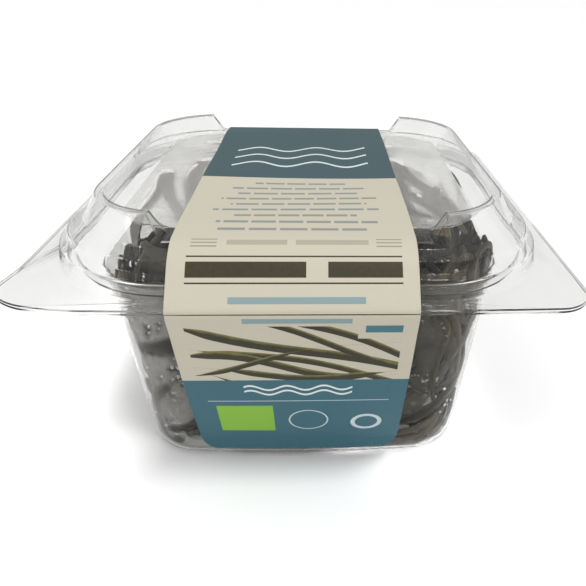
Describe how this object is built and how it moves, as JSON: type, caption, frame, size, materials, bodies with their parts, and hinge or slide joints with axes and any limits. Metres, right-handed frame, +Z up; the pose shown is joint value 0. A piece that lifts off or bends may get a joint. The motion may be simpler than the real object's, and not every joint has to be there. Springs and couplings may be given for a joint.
{
  "type": "tub of sea spaghetti",
  "caption": "Clear hinged plastic tub with a raised-rim lid and a folded paper band, packed full of dark forked seaweed strands and coarse salt.",
  "frame": {"origin": "on the surface the tub stands on, below the middle of its flange", "axes": "+Z up, -Y towards the front edge where the band folds, +Y towards the hinge, +X to the right seen from the front"},
  "size_m": [0.14, 0.1328, 0.0805],
  "materials": {
    "clear_sheet": "clear glossy thermoformed PET sheet, slightly fogged inside",
    "band_paper": "printed satin paper, cream and deep teal",
    "seaweed": "wet dark olive-brown straps, smooth and slightly glossy",
    "salt": "coarse translucent white salt grains"
  },
  "bodies": {
    "tub": {"tub": "clear_sheet", "hinge": "clear_sheet", "band_front": "band_paper", "frond_01": "seaweed", "frond_02": "seaweed", "frond_03": "seaweed", "frond_04": "seaweed", "frond_05": "seaweed", "frond_06": "seaweed", "frond_07": "seaweed", "frond_08": "seaweed", "frond_09": "seaweed", "frond_10": "seaweed", "frond_11": "seaweed", "frond_12": "seaweed", "frond_13": "seaweed", "frond_14": "seaweed", "frond_15": "seaweed", "frond_16": "seaweed", "frond_17": "seaweed", "frond_18": "seaweed", "frond_19": "seaweed", "frond_20": "seaweed", "frond_21": "seaweed", "frond_22": "seaweed", "frond_23": "seaweed", "frond_24": "seaweed", "frond_25": "seaweed", "frond_26": "seaweed", "frond_27": "seaweed", "frond_28": "seaweed", "salt_01": "salt", "salt_02": "salt", "salt_03": "salt", "salt_04": "salt", "salt_05": "salt", "salt_06": "salt", "salt_07": "salt", "salt_08": "salt", "salt_09": "salt", "salt_10": "salt", "salt_11": "salt", "salt_12": "salt", "salt_13": "salt", "salt_14": "salt"},
    "lid": {"lid": "clear_sheet", "band_top": "band_paper"}
  },
  "joints": [
    {"name": "lid_hinge", "type": "hinge", "parent": "tub", "child": "lid", "pos_m": [0, 0.06605, 0.06288], "axis": [-1, 0, 0], "range_deg": [0, 180]}
  ]
}
